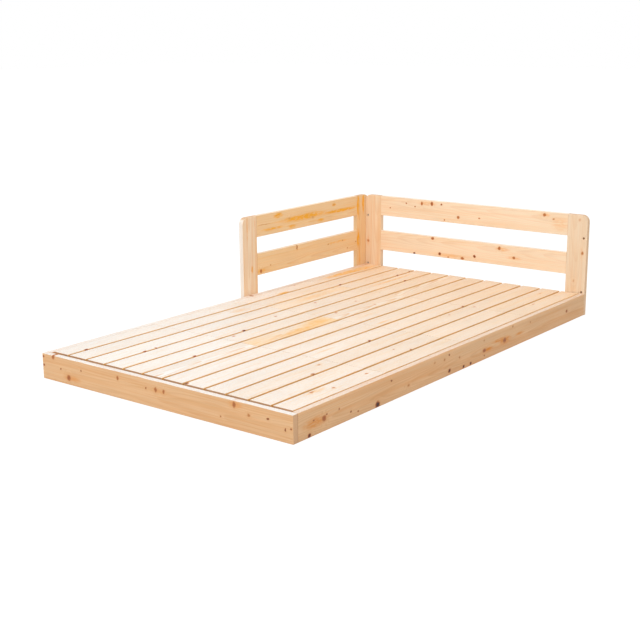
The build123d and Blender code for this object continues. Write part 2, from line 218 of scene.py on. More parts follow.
leftEdge = corner("foot_board", True, 0)
rightEdge = corner("foot_board", False, 0)
footEdge = corner("foot_board", True, 1)
boxTop = corner("foot_board", False, 2)
panelTop = corner("headboard_rail_upper", False, 2)
guardFront = corner("guard_post_front", True, 1)
backEdge = corner("headboard_post_left", False, 1)

# The softwood of the box: colours, growth rings in mm, and how the surface answers light
softwood = {
    "early": screenColour(238, 193, 145),
    "late": screenColour(205, 146, 88),
    "warm": screenColour(226, 158, 92),
    "resin": screenColour(228, 142, 42),
    "endGrain": screenColour(220, 178, 138),
    # the colour of painted light, laid on faces that look up and on the front face of the front guard post
    "pale": screenColour(250, 247, 242),
    "knotStops": [
        (0.0, screenColour(218, 154, 96)),
        (0.35, screenColour(192, 118, 66)),
        (0.6, screenColour(150, 82, 46)),
        (0.85, screenColour(92, 44, 22)),
        (1.0, screenColour(42, 17, 8)),
    ],
    "seedStep": (371.0, 97.0, 53.0),
    "ownStep": (900.0, 400.0, 400.0),
    "ownPith": (90, 70),
    "rippleReach": (7.0, 5.0, 0.0),
    "ringWidth": 3.4,
    "wander": 9.0,
    "taper": 0.02,
    "contrast": 0.42,
    "warmth": 0.35,
    "thread": 0.45,
    "knotSwell": 13.0,
    "knotFade": (0.3, 1.35),
    "swellFade": (0.2, 2.8),
    "streakFade": (0.25, 1.05),
    # how strongly the deck's tops are painted with light at its left side and at its right side
    "paleSides": (1.12, 0.55),
    "paintedEdgeLightReach": 18,
    "roughness": 0.56,
    "specular": 0.35,
    "grainDepth": 0.25,
    "grainReach": 0.0004,
    # how fast each noise varies per mm along the grain, across it and in depth, its detail and its roughness
    "noise": {
        "bend": ((0.0022, 0.011, 0.011), 2.0, 0.5),
        "ripple": ((0.05, 0.12, 0.12), 1.0, 0.5),
        "fibre": ((0.006, 0.55, 0.55), 3.0, 0.6),
        "band": ((0.0016, 0.045, 0.045), 2.0, 0.5),
        "patch": ((0.004, 0.01, 0.01), 1.0, 0.5),
        "mottle": ((0.08, 0.3, 0.3), 2.0, 0.65),
        "thread": ((0.004, 0.2, 0.2), 3.0, 0.65),
        "blotch": ((0.035, 0.14, 0.14), 3.0, 0.6),
    },
}

# The deck, the headboard and the guard are of paler boards, the guard's the most yellow
slatWood = {
    **softwood,
    "early": screenColour(246, 223, 196),
    "late": screenColour(232, 186, 142),
    "warm": screenColour(248, 202, 138),
    "resin": screenColour(246, 182, 84),
    # the sides of the slats are painted in this bright, warm colour: painted light, standing in for light
    # bounced between the slats
    "side": screenColour(246, 196, 122),
    "knotStops": [
        (0.0, screenColour(220, 156, 98)),
        (0.4, screenColour(204, 126, 78)),
        (0.75, screenColour(156, 82, 50)),
        (1.0, screenColour(98, 44, 26)),
    ],
    "roughness": 0.52,
}
panelWood = {
    **softwood,
    "early": screenColour(247, 223, 194),
    "late": screenColour(230, 190, 148),
    "warm": screenColour(240, 198, 150),
    "resin": screenColour(238, 174, 98),
}
guardWood = {
    **softwood,
    "early": screenColour(248, 214, 168),
    "late": screenColour(232, 178, 118),
    "warm": screenColour(242, 190, 118),
    "resin": screenColour(248, 176, 40),
}


def spotDistance(shade, face, spot, reach):
    # 0 at the middle of a spot on the board's face, 1 at its rim
    scale = (1 / reach[0], 1 / reach[1], 0)
    scaled = shade.vectorMath("MULTIPLY", face, scale)
    middle = (spot[0] / reach[0], spot[1] / reach[1], 0)
    return shade.vectorMath("DISTANCE", scaled, middle, out="Value")


def most(wire, new):
    return new if wire is None else wire.larger(new)


class BoardFinish(Finish):
    # the finish of one board, worked out in millimetres along its grain, across it and into its depth
    def __init__(self, name, look, wood):
        super().__init__(name)
        self.look, self.wood = look, wood
        coordinates = self.node("ShaderNodeTexCoord", out="Object")
        self.normal = self.parts(self.other(coordinates, "Normal"))
        place = self.vectorMath("SCALE", coordinates)
        self.feed(self.pick(place.socket.node.inputs, "Scale"), perMetre)
        self.axes = self.parts(place)
        self.grain, self.across = look["grain"], look["across"]
        self.deep = next(axis for axis in "xyz" if axis not in (self.grain, self.across))
        self.flat = self.vector(*(self.axes[axis] for axis in (self.grain, self.across, self.deep)))

        # every board is cut from another place in the tree, and so is every slat of a row
        seedPlace = tuple(step * look["seed"] for step in wood["seedStep"])
        self.offset = self.vectorMath("ADD", self.flat, seedPlace)
        self.own = None
        if "apart" in look:
            own = self.node("ShaderNodeAttribute", {"attribute_name": look["apart"]}, out="Vector")
            self.own = self.parts(own)
            ownPlace = self.vectorMath("MULTIPLY", own, wood["ownStep"])
            self.offset = self.vectorMath("ADD", self.offset, ownPlace)

    def grainNoise(self, kind, out=0):
        scale, detail, rough = self.wood["noise"][kind]
        return self.noise(self.vectorMath("MULTIPLY", self.offset, scale), 1.0, detail, rough, out)

    def sway(self, kind):
        return self.vectorMath("SUBTRACT", self.grainNoise(kind, 1), (0.5, 0.5, 0.5))

    def marks(self):
        # at each place: how dark the knots are, how far they swell the grain, and how much resin there is
        look, wood = self.look, self.wood
        ripple = self.vectorMath("MULTIPLY", self.sway("ripple"), wood["rippleReach"])
        face = self.vectorMath("ADD", self.flat, ripple)
        dark, swell, gum = None, None, None
        for along, over, reachAlong, reachOver, depth in look["knots"]:
            far = spotDistance(self, face, look["spot"](along, over), (reachAlong, reachOver))
            dark = most(dark, self.fade(far, *wood["knotFade"], depth, 0.0))
            swell = most(swell, self.fade(far, *wood["swellFade"], 1.0, 0.0))
        for along, over, reachAlong, reachOver, strength in look.get("streaks", ()):
            far = spotDistance(self, face, look["spot"](along, over), (reachAlong, reachOver))
            gum = most(gum, self.fade(far, *wood["streakFade"], strength, 0.0))
        return dark, swell, gum

    def lateWood(self, swell):
        # 0 in the pale early wood of a year's ring and 1 in its dark late wood
        look, wood = self.look, self.wood
        seed = look["seed"]
        bend = self.parts(self.sway("bend"))
        pithAcross, pithDeep = look.get("pith", (40 - 17 * (seed % 5), 46 + 13 * (seed % 4)))
        middleAcross, middleDeep = look["middle"]
        across = self.axes[self.across] - (middleAcross + pithAcross) + bend["y"] * wood["wander"] * 4
        deep = self.axes[self.deep] - (middleDeep + pithDeep) + bend["z"] * wood["wander"]
        deep = deep + self.axes[self.grain] * look.get("taper", wood["taper"])
        if self.own:
            across = across + self.own["x"] * wood["ownPith"][0]
            deep = deep + self.own["y"] * wood["ownPith"][1]
        radius = (across * across + deep * deep) ** 0.5
        if swell is not None:
            radius = radius + swell * wood["knotSwell"]
        ring = (radius / wood["ringWidth"]).rest()
        return self.fade(ring, 0.35, 0.95, 0.0, 1.0) * self.fade(ring, 0.95, 1.0, 1.0, 0.0)

    def heated(self, colour, patch):
        # one slat of a section may be of yellower wood
        hot = self.node("ShaderNodeAttribute", {"attribute_name": "slatHeat"}, out="Fac")
        hot = hot * self.fade(patch, 0.3, 0.6, 0.4, 1.1)
        return hot, self.mix(hot, colour, self.wood["warm"])

    def paintTopLight(self, colour, late, hot):
        # painted light: faces that look up are painted paler, most of all at the foot end, and on the deck
        # more on its left side than on its right
        near, far = self.look["paintedTopLight"]
        amount = self.fade(self.axes["y"], footEdge, backEdge, near, far, smooth=False)
        if self.own:
            left, right = self.wood["paleSides"]
            sideways = self.fade(self.axes["x"], leftEdge, rightEdge, left, right, smooth=False)
            amount = amount * (1 - hot * 0.6) * sideways * (0.86 + self.own["z"] * 0.28)
        up = self.fade(self.normal["z"], 0.35, 0.9, 0.0, 1.0)
        mottle = self.grainNoise("mottle")
        return self.mix(up * amount * (1 - late * 0.7) * (0.2 + mottle * 1.7), colour, self.wood["pale"])

    def threadsAndPaintedLight(self, colour):
        # fine threads of warmer wood, painted shade on one face of the headboard posts, painted light on the
        # front face of the front guard post, and the slats' sides painted bright and warm as painted light
        # bounced between the slats
        look, wood = self.look, self.wood
        thread = self.fade(self.grainNoise("thread"), 0.5, 0.7, 0.0, wood["thread"])
        colour = self.mix(thread, colour, wood["warm"])
        # one face of a post, picked by which way it faces, is painted darker as painted shade, or paler as
        # painted light, as its look asks
        if "paintedFaceShading" in look:
            axis, side, strength, paintColour = look["paintedFaceShading"]
            turned = self.fade(self.normal[axis] * side, 0.5, 0.9, 0.0, strength)
            colour = self.mix(turned, colour, wood[paintColour])
        # painted light: the slats' sides take the bright side colour, as if lit by light bounced between them
        if "side" in wood:
            sideways = self.fade(self.normal[self.across].size(), 0.5, 0.95, 0.0, 1.0)
            colour = self.mix(sideways, colour, wood["side"])
        return colour

    def marked(self, colour, dark, swell, gum):
        # resin in blotches, a warm halo round each knot, and the knot
        wood = self.wood
        if gum is not None:
            blotch = self.fade(self.grainNoise("blotch"), 0.36, 0.56, 0.3, 1.25)
            colour = self.mix(gum * blotch, colour, wood["resin"])
        if swell is not None:
            colour = self.mix(swell ** 2.0 * 0.3, colour, wood["warm"])
            knotColour = self.node("ShaderNodeValToRGB", {"stops": wood["knotStops"]}, {0: dark})
            colour = self.mix(self.fade(dark, 0.0, 0.25, 0.0, 1.0), colour, knotColour)
        return colour

    def shaded(self, colour, late, fibre, patch):
        # end grain where the board is cut across, small changes of brightness over all of it, and on a board
        # that asks for it a band of painted light along its top edge
        look, wood = self.look, self.wood
        end = self.fade(self.normal[self.grain].size(), 0.6, 0.9, 0.0, 1.0)
        colour = self.mix(end, colour, self.mix(late * 0.5, wood["endGrain"], wood["late"]))
        lighten = 0.83 + fibre * 0.22 + patch * 0.12
        if self.own:
            lighten = lighten + (self.own["z"] - 0.5) * look["spread"]
        # painted light: a band just under the board's top edge is painted brighter, as if its rounded edge
        # caught the light
        if "paintedTopEdgeLight" in look:
            edgeLightFoot = boxTop - wood["paintedEdgeLightReach"]
            lighten = lighten + self.fade(self.axes["z"], edgeLightFoot, boxTop, 0.0, look["paintedTopEdgeLight"])
        bright = lighten * look["tone"]
        return self.mix(1.0, colour, self.vector(bright, bright, bright), "MULTIPLY")


def woodFinish(name, look, wood=softwood):
    board = BoardFinish(name, look, wood)
    dark, swell, gum = board.marks()
    late = board.lateWood(swell)
    fibre, band, patch = (board.grainNoise(kind) for kind in ("fibre", "band", "patch"))

    ringShow = late * look.get("contrast", wood["contrast"]) * (0.55 + band * 0.9)
    colour = board.mix(ringShow, wood["early"], wood["late"])
    warmth = board.fade(band, 0.42, 0.72, 0.0, look.get("warmth", wood["warmth"]))
    colour = board.mix(warmth, colour, wood["warm"])
    hot = None
    if board.own:
        hot, colour = board.heated(colour, patch)
    # painted light on the faces that look up
    colour = board.paintTopLight(colour, late, hot)
    colour = board.threadsAndPaintedLight(colour)
    colour = board.marked(colour, dark, swell, gum)
    colour = board.shaded(colour, late, fibre, patch)

    rough = wood["roughness"] + (fibre - 0.5) * 0.16 - late * 0.05
    height = fibre * 0.5 - late * 0.35
    if dark is not None:
        height = height + dark * 0.5
    relief = {"Strength": wood["grainDepth"], "Distance": wood["grainReach"], "Height": height}
    bump = board.node("ShaderNodeBump", values=relief)
    constant = {"Specular IOR Level": wood["specular"]}
    return board.finish(constant, {"Base Color": colour, "Roughness": rough, "Normal": bump})


def dress(node, material):
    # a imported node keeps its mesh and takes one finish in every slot
    slots = nodes[node].material_slots
    if not slots:
        nodes[node].data.materials.append(material)
    for slot in slots:
        slot.material = material


# Where a mark lies on each kind of board: along the grain, and across it from the named edge
def onFootFace(along, over):
    return (leftEdge + along, boxTop - over)


def onSideFace(along, over):
    return (footEdge + along, boxTop - over)


def onHeadboardRail(along, over):
    return (leftEdge + along, panelTop - over)


def onHeadboardPost(along, over):
    return (panelTop - along, leftEdge + over)


def onGuardRail(along, over):
    return (guardFront + along, panelTop - over)


def onGuardPost(along, over):
    return (panelTop - along, guardFront + over)


def onDeck(along, over):
    return (footEdge + along, leftEdge + over)


# The four boards of the box. A knot is (along, across, half length, half width, darkness) in mm
# Each board's painted top light is a pair: how strongly its upward faces are painted paler at the foot end
# and at the head end
boxBoards = {
    "foot_board": {
        "grain": "x", "across": "z", "seed": 3, "spot": onFootFace, "paintedTopLight": (1.35, 0.9), "tone": 0.97,
        "contrast": 0.2, "taper": 0.008,
        "knots": [
            (62, 6, 8, 10, 0.42), (8, 12, 5, 5, 0.6), (8, 45, 5, 5, 0.6), (103, 44, 4, 4, 0.55),
            (145, 71, 11, 12, 0.5), (214, 33, 4, 4, 0.55), (407, 24, 6, 9, 0.42), (549, 35, 4, 4, 0.5),
            (596, 32, 7, 10, 0.42), (634, 31, 6, 8, 0.42), (895, 66, 3, 3, 0.5), (955, 14, 8, 12, 0.44),
            (1017, 37, 7, 6, 0.25), (1098, 33, 5, 4, 0.75), (1168, 54, 3, 6, 0.75), (1192, 48, 4, 4, 0.6),
        ],
        "streaks": [(165, 72, 60, 14, 0.45), (958, 14, 42, 18, 0.35), (615, 32, 60, 12, 0.3)],
    },
    "side_rail_right": {
        "grain": "y", "across": "z", "seed": 8, "spot": onSideFace, "paintedTopLight": (0.66, 0.5), "tone": 0.92,
        # the band under this rail's top edge is painted brighter: painted light
        "contrast": 0.32, "warmth": 0.5, "paintedTopEdgeLight": 0.08,
        "knots": [
            (80, 90, 9, 8, 0.85), (157, 54, 12, 11, 0.48), (103, 46, 5, 3, 0.5), (170, 43, 5, 4, 0.5),
            (237, 44, 4, 4, 0.55), (302, 70, 5, 4, 0.75), (343, 80, 4, 4, 0.55), (456, 87, 13, 12, 0.95),
            (538, 23, 5, 4, 0.75), (646, 67, 8, 6, 0.25), (817, 26, 6, 5, 0.2), (884, 29, 7, 6, 0.25),
            (917, 18, 5, 4, 0.7), (920, 80, 9, 8, 0.9), (992, 45, 6, 5, 0.25), (1022, 88, 7, 6, 1.0),
            (1074, 88, 7, 6, 1.0), (1174, 19, 5, 4, 0.3), (1177, 60, 14, 8, 0.5), (1177, 80, 4, 4, 0.55),
            (1339, 54, 14, 12, 0.48), (1403, 11, 4, 4, 0.5), (1553, 24, 5, 4, 0.3), (1888, 44, 9, 7, 0.55),
        ],
        "streaks": [
            (108, 54, 80, 24, 0.6), (1200, 60, 55, 12, 0.95), (1300, 44, 75, 9, 0.95),
            (1342, 54, 60, 20, 0.85),
            (1463, 52, 50, 8, 0.7),
        ],
    },
    "side_rail_left": {
        "grain": "y", "across": "z", "seed": 12, "spot": onSideFace, "paintedTopLight": (1.35, 0.45), "tone": 1.0,
        "knots": [
            (210, 40, 8, 7, 0.55), (520, 66, 10, 8, 0.7), (790, 22, 5, 4, 0.8), (1165, 4, 7, 6, 0.6),
            (1300, 58, 9, 7, 0.4), (1442, 70, 6, 5, 0.6), (1760, 36, 10, 8, 0.6),
        ],
        "streaks": [(540, 66, 70, 12, 0.4), (1780, 36, 60, 10, 0.4)],
    },
    "head_end_board": {
        "grain": "x", "across": "z", "seed": 17, "spot": onFootFace, "paintedTopLight": (0.8, 0.5), "tone": 0.98,
        "knots": [
            (120, 60, 8, 7, 0.6), (330, 40, 5, 4, 0.8), (610, 70, 11, 9, 0.6), (860, 46, 6, 5, 0.4),
            (1040, 58, 8, 7, 0.7),
        ],
        "streaks": [(640, 70, 80, 10, 0.4)],
    },
}

# The headboard's four boards, and the guard's, which is cut from more yellow, resinous wood
panelBoards = {
    "headboard_rail_upper": {
        "grain": "x", "across": "z", "seed": 21, "spot": onHeadboardRail, "paintedTopLight": (0.6, 0.6), "tone": 1.09,
        "contrast": 0.3,
        "knots": [
            (150, 55, 4, 4, 0.5), (245, 25, 4, 4, 0.5), (296, 37, 4, 4, 0.45), (335, 18, 6, 10, 0.45),
            (393, 15, 7, 10, 0.58), (446, 14, 5, 4, 0.75), (540, 68, 8, 8, 0.4), (465, 86, 4, 4, 0.4),
            (655, 62, 6, 4, 0.25), (990, 15, 8, 8, 0.4), (1035, 30, 7, 5, 0.2),
        ],
        "streaks": [(364, 17, 70, 12, 0.5), (990, 15, 40, 10, 0.5), (1070, 50, 60, 40, 0.35)],
    },
    "headboard_rail_lower": {
        "grain": "x", "across": "z", "seed": 26, "spot": onHeadboardRail, "paintedTopLight": (0.6, 0.6), "tone": 1.09,
        "contrast": 0.3,
        "knots": [
            (400, 183, 9, 7, 0.5), (295, 267, 6, 5, 1.0), (441, 254, 8, 7, 0.8), (490, 265, 6, 4, 0.25),
            (568, 262, 9, 7, 0.5), (633, 245, 7, 7, 0.8), (765, 192, 8, 9, 0.42), (843, 229, 8, 7, 0.45),
        ],
        "streaks": [(780, 196, 50, 12, 0.6), (843, 229, 50, 12, 0.5), (500, 258, 110, 12, 0.45)],
    },
    "headboard_post_left": {
        "grain": "z", "across": "x", "seed": 31, "spot": onHeadboardPost, "paintedTopLight": (0.6, 0.6), "tone": 1.03,
        "warmth": 0.8,
        # the post's +X face is painted darker: painted shade
        "contrast": 0.35, "paintedFaceShading": ("x", 1, 0.4, "late"),
        "knots": [(233, 18, 8, 9, 0.2), (410, 60, 8, 6, 0.3)],
        "streaks": [(233, 18, 34, 9, 0.35)],
    },
    "headboard_post_right": {
        "grain": "z", "across": "x", "seed": 38, "spot": onHeadboardPost, "paintedTopLight": (0.6, 0.6), "tone": 0.99,
        # the post's +X face is painted darker: painted shade
        "contrast": 0.25, "paintedFaceShading": ("x", 1, 0.85, "late"),
        "knots": [(22, 1162, 9, 7, 0.12), (170, 1181, 9, 7, 0.25), (298, 1145, 8, 6, 0.12)],
        "streaks": [(170, 1176, 40, 8, 0.25)],
    },
    "guard_rail_upper": {
        "grain": "y", "across": "z", "seed": 44, "spot": onGuardRail, "paintedTopLight": (0.5, 0.5), "tone": 1.03,
        "knots": [
            (325, 42, 12, 7, 0.12), (500, 60, 12, 7, 0.12), (147, 46, 54, 2, 0.16),
            (665, 20, 8, 6, 0.14),
        ],
        "streaks": [
            (245, 18, 42, 15, 1.0), (435, 48, 215, 19, 1.0), (720, 54, 190, 11, 1.0), (665, 20, 22, 9, 0.9),
            (205, 72, 100, 7, 0.8), (345, 82, 34, 12, 0.7), (560, 80, 34, 12, 0.7),
        ],
    },
    "guard_rail_lower": {
        "grain": "y", "across": "z", "seed": 49, "spot": onGuardRail, "paintedTopLight": (0.5, 0.5), "tone": 1.03,
        "knots": [
            (378, 186, 5, 12, 0.45), (118, 255, 8, 9, 0.4), (185, 238, 6, 4, 0.2), (620, 208, 6, 4, 0.2),
            (735, 205, 6, 4, 0.2), (775, 250, 6, 4, 0.2), (845, 228, 6, 4, 0.2),
        ],
        "streaks": [(118, 255, 40, 12, 0.6), (640, 206, 8, 14, 0.5), (700, 206, 120, 8, 0.4)],
    },
    "guard_post_front": {
        "grain": "z", "across": "y", "seed": 53, "spot": onGuardPost, "paintedTopLight": (0.6, 0.6), "tone": 1.05,
        # the post's front face is painted paler: painted light
        "warmth": 0.9, "paintedFaceShading": ("y", -1, 0.65, "pale"),
        "knots": [],
        "streaks": [(237, 57, 22, 8, 1.2), (60, 30, 70, 6, 0.5), (40, 80, 50, 4, 0.5)],
    },
    "guard_post_rear": {
        "grain": "z", "across": "y", "seed": 59, "spot": onGuardPost, "paintedTopLight": (0.5, 0.5), "tone": 1.0,
        "knots": [],
        "streaks": [
            (47, 865, 75, 14, 1.1), (215, 865, 60, 14, 1.1), (40, 908, 66, 11, 1.0),
            (330, 880, 120, 7, 0.5),
        ],
    },
}


def woodOf(node):
    if node == "guard_post_front" or "headboard" in node:
        return panelWood
    return guardWood if "guard" in node else softwood


for boards in (boxBoards, panelBoards):
    for node, look in boards.items():
        low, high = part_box(node)
        centre = {axis: (low[i] + high[i]) / 2 * perMetre for i, axis in enumerate("xyz")}
        deepAxis = next(axis for axis in "xyz" if axis not in (look["grain"], look["across"]))
        look["middle"] = (centre[look["across"]], centre[deepAxis])
        dress(node, woodFinish(node + "Wood", look, woodOf(node)))
print("boards finished:", len(boxBoards) + len(panelBoards))


# The frame under the deck is of plainer wood, with a few knots of its own
underFrame = {
    "grainByName": [
        ("batten", "x", "z"), ("ledger", "y", "z"), ("centre_beam", "y", "z"),
        ("corner_block", "z", "x"), ("foot_block", "y", "x"),
    ],
    "knotEvery": 310.0,
    "tone": 0.96,
    # painted light on the frame's upward faces, the same at both ends
    "paintedTopLight": (0.25, 0.25),
}


def underFrameLook(node, number):
    grain, across = next((g, a) for word, g, a in underFrame["grainByName"] if word in node)
    low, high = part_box(node)
    index = {"x": 0, "y": 1, "z": 2}
    start, end = low[index[grain]] * perMetre, high[index[grain]] * perMetre
    side = (low[index[across]] + high[index[across]]) / 2 * perMetre
    deepAxis = next(axis for axis in "xyz" if axis not in (grain, across))
    deepMiddle = (low[index[deepAxis]] + high[index[deepAxis]]) / 2 * perMetre
    step = underFrame["knotEvery"]
    knots = []
    while start + step * (len(knots) + 0.5) < end:
        turn = len(knots) * 2.4 + number
        knots.append((start + step * (len(knots) + 0.5 + 0.3 * math.sin(turn)), side + 9 * math.cos(turn),
                      6, 5, 0.5 + 0.3 * math.sin(turn * 1.7)))
    return {
        "grain": grain, "across": across, "seed": 60 + number, "spot": lambda along, over: (along, over),
        "knots": knots, "tone": underFrame["tone"], "paintedTopLight": underFrame["paintedTopLight"],
        "middle": (side, deepMiddle),
    }


underNodes = [n for n in sorted(nodes) if any(word in n for word, _, _ in underFrame["grainByName"])
              and not n.endswith("screws")]
for number, node in enumerate(underNodes):
    dress(node, woodFinish(node + "Wood", underFrameLook(node, number)))
print("frame under the deck finished:", len(underNodes))


# The deck: each section is a row of slats grown by one node tree
deck = {
    "count": 12,
    "gap": 10.0,
    "firstTrim": 14.0,
    "lastTrim": 6.0,
    "round": 2.5,
    "roundSteps": 3,
    "endRound": 0.5,
    "endRoundSteps": 2,
    "endAngle": 60,
    "skew": -0.0028,
    "pith": (0.0, -60.0),
    "tone": 1.0,
    # painted light on the slats' tops: strong at the foot end, almost none at the head end
    "paintedTopLight": (1.35, 0.05),
    "spread": 0.03,
    "contrast": 1.0,
    "sections": {
        "deck_section_1": {
            "seed": 5, "hotSlat": -1, "heat": 0.0,
            "knots": [
                (129, 96, 8, 4, 0.9), (242, 292, 8, 4, 0.8), (299, 292, 4, 4, 0.8), (304, 488, 8, 4, 0.8),
                (381, 978, 8, 4, 0.8), (482, 927, 8, 6, 0.22), (216, 1102, 12, 7, 0.3),
                (299, 1131, 9, 6, 0.3),
                (494, 1125, 8, 6, 0.3), (40, 700, 13, 9, 1.0),
            ],
            "streaks": [(482, 927, 34, 10, 0.35), (230, 1108, 70, 16, 0.5), (310, 780, 120, 6, 0.25)],
        },
        "deck_section_2": {
            "seed": 11, "hotSlat": 5, "heat": 0.85,
            "knots": [
                (688, 390, 8, 6, 1.0), (597, 417, 8, 6, 0.45), (937, 345, 7, 5, 0.5),
                (806, 1027, 6, 4, 0.4),
                (855, 880, 8, 4, 0.8), (845, 1076, 4, 4, 0.7),
            ],
            "streaks": [
                (640, 829, 90, 7, 0.4), (927, 155, 70, 26, 0.4), (820, 568, 240, 30, 0.55),
                (960, 545, 90, 40, 0.5),
            ],
        },
        "deck_section_3": {
            "seed": 19, "hotSlat": 2, "heat": 0.4,
            "knots": [
                (1226, 328, 7, 5, 0.5), (1133, 512, 8, 6, 0.55), (1351, 455, 6, 5, 0.4),
                (1349, 559, 6, 5, 0.4),
                (1382, 915, 6, 5, 0.35), (1442, 36, 6, 5, 0.5), (1545, 880, 8, 4, 0.8),
            ],
            "streaks": [
                (1293, 95, 60, 16, 0.95), (1118, 760, 70, 8, 0.5), (1330, 250, 180, 30, 0.35),
                (1170, 640, 90, 8, 0.3),
            ],
        },
        "deck_section_4": {
            "seed": 27, "hotSlat": -1, "heat": 0.0,
            "knots": [
                (1586, 195, 8, 4, 0.8), (1916, 292, 8, 4, 0.8), (2019, 292, 8, 4, 0.8),
                (1833, 390, 8, 4, 0.8),
                (1565, 927, 7, 5, 0.4), (1751, 1107, 7, 5, 0.4), (1957, 1035, 6, 5, 0.22),
            ],
            "streaks": [
                (1820, 60, 260, 34, 0.95), (1930, 76, 150, 20, 0.9), (1790, 340, 230, 11, 0.7),
                (1957, 1035, 30, 8, 0.4),
                (1700, 505, 120, 8, 0.35), (1880, 690, 110, 7, 0.35),
            ],
        },
    },
}


class ShapeTree(Tree):
    # one Geometry Nodes tree with named inputs
    def __init__(self, name):
        self.group = bpy.data.node_groups.new(name, "GeometryNodeTree")
        super().__init__(self.group)
        self.start = self.group.nodes.new("NodeGroupInput")

    def input(self, name, kind="Float"):
        socket = self.group.interface.new_socket(name, in_out="INPUT", socket_type="NodeSocket" + kind)
        return Wire(self, self.pick(self.start.outputs, socket.identifier))

    def vector(self, x, y, z):
        return self.node("ShaderNodeCombineXYZ", values={0: x, 1: y, 2: z})

    def finish(self, geometry):
        self.group.interface.new_socket("Geometry", in_out="OUTPUT", socket_type="NodeSocketGeometry")
        self.node("NodeGroupOutput", values={0: geometry})


def slatTree():
    tree = ShapeTree("slatRow")
    count = tree.input("Count", "Int")
    firstMiddle = tree.input("First Middle")
    pitch = tree.input("Pitch")
    width = tree.input("Width")
    firstTrim = tree.input("First Trim")
    lastTrim = tree.input("Last Trim")
    length = tree.input("Length")
    thickness = tree.input("Thickness")
    rounding = tree.input("Rounding")
    roundSteps = tree.input("Round Steps", "Int")
    middle = tree.input("Middle", "Vector")
    turn = tree.input("Turn", "Vector")
    hotSlat = tree.input("Hot Slat", "Int")
    hotAmount = tree.input("Hot Amount")
    seed = tree.input("Seed", "Int")
    material = tree.input("Material", "Material")

    # one slat: a rounded section drawn along its length
    section = tree.node("GeometryNodeCurvePrimitiveQuadrilateral", {"mode": "RECTANGLE"},
                        {"Width": width, "Height": thickness})
    section = tree.node("GeometryNodeFilletCurve", {"mode": "POLY"},
                        {"Curve": section, "Count": roundSteps, "Radius": rounding})
    path = tree.node("GeometryNodeCurvePrimitiveLine", values={
        "Start": tree.vector(0.0, length * -0.5, 0.0), "End": tree.vector(0.0, length * 0.5, 0.0)})
    slat = tree.node("GeometryNodeCurveToMesh", values={
        "Curve": path, "Profile Curve": section, "Fill Caps": True})

    # the row, its outer slats trimmed on their outer sides
    index = tree.node("GeometryNodeInputIndex")
    isFirst = tree.node("FunctionNodeCompare", {"data_type": "INT", "operation": "EQUAL"},
                        {"A_INT": index, "B_INT": 0})
    isLast = tree.node("FunctionNodeCompare", {"data_type": "INT", "operation": "EQUAL"},
                       {"A_INT": index, "B_INT": count - 1})
    trimFirst, trimLast = isFirst * firstTrim, isLast * lastTrim
    x = firstMiddle + index * pitch + trimFirst * 0.5 - trimLast * 0.5
    row = tree.node("GeometryNodePoints", values={"Count": count, "Position": tree.vector(x, 0.0, 0.0)})
    size = tree.vector((width - trimFirst - trimLast) / width, 1.0, 1.0)
    slats = tree.node("GeometryNodeInstanceOnPoints", values={"Points": row, "Instance": slat, "Scale": size})

    # every slat keeps numbers of its own for its grain and tone
    own = tree.node("FunctionNodeRandomValue", {"data_type": "FLOAT_VECTOR"}, {"Seed": seed}, "Value")
    slats = tree.node("GeometryNodeStoreNamedAttribute", {"data_type": "FLOAT_VECTOR", "domain": "INSTANCE"},
                      {"Geometry": slats, "Name": "slatOwn", "Value": own})
    isHot = tree.node("FunctionNodeCompare", {"data_type": "INT", "operation": "EQUAL"},
                      {"A_INT": index, "B_INT": hotSlat})
    slats = tree.node("GeometryNodeStoreNamedAttribute", {"data_type": "FLOAT", "domain": "INSTANCE"},
                      {"Geometry": slats, "Name": "slatHeat", "Value": isHot * hotAmount})
    placed = tree.node("GeometryNodeTransform", values={
        "Geometry": slats, "Translation": middle, "Rotation": turn})
    solid = tree.node("GeometryNodeRealizeInstances", values={"Geometry": placed})
    tree.finish(tree.node("GeometryNodeSetMaterial", values={"Geometry": solid, "Material": material}))
    return tree.group


def grow(name, group, values, startMesh=None):
    # run a node tree on an empty object and keep its result as a plain mesh at the origin
    source = bpy.data.objects.new(name + "Source", startMesh or bpy.data.meshes.new(name + "Source"))
    bpy.context.collection.objects.link(source)
    modifier = source.modifiers.new("grow", "NODES")
    modifier.node_group = group
    for item in group.interface.items_tree:
        if item.item_type == "SOCKET" and item.in_out == "INPUT" and item.name in values:
            modifier[item.identifier] = values[item.name]
    graph = bpy.context.evaluated_depsgraph_get()
    grown = source.evaluated_get(graph)
    mesh = bpy.data.meshes.new_from_object(grown, preserve_all_data_layers=True, depsgraph=graph)
    bpy.data.objects.remove(source)
    piece = bpy.data.objects.new(name, mesh)
    bpy.context.collection.objects.link(piece)
    return piece


def sectionLook(section, low, high):
    return {
        "grain": "y", "across": "x", "seed": section["seed"], "spot": onDeck, "knots": section["knots"],
        "streaks": section["streaks"], "tone": deck["tone"], "paintedTopLight": deck["paintedTopLight"],
        "spread": deck["spread"], "contrast": deck["contrast"], "apart": "slatOwn",
        "pith": deck["pith"], "middle": (0.0, (low.z + high.z) / 2),
    }


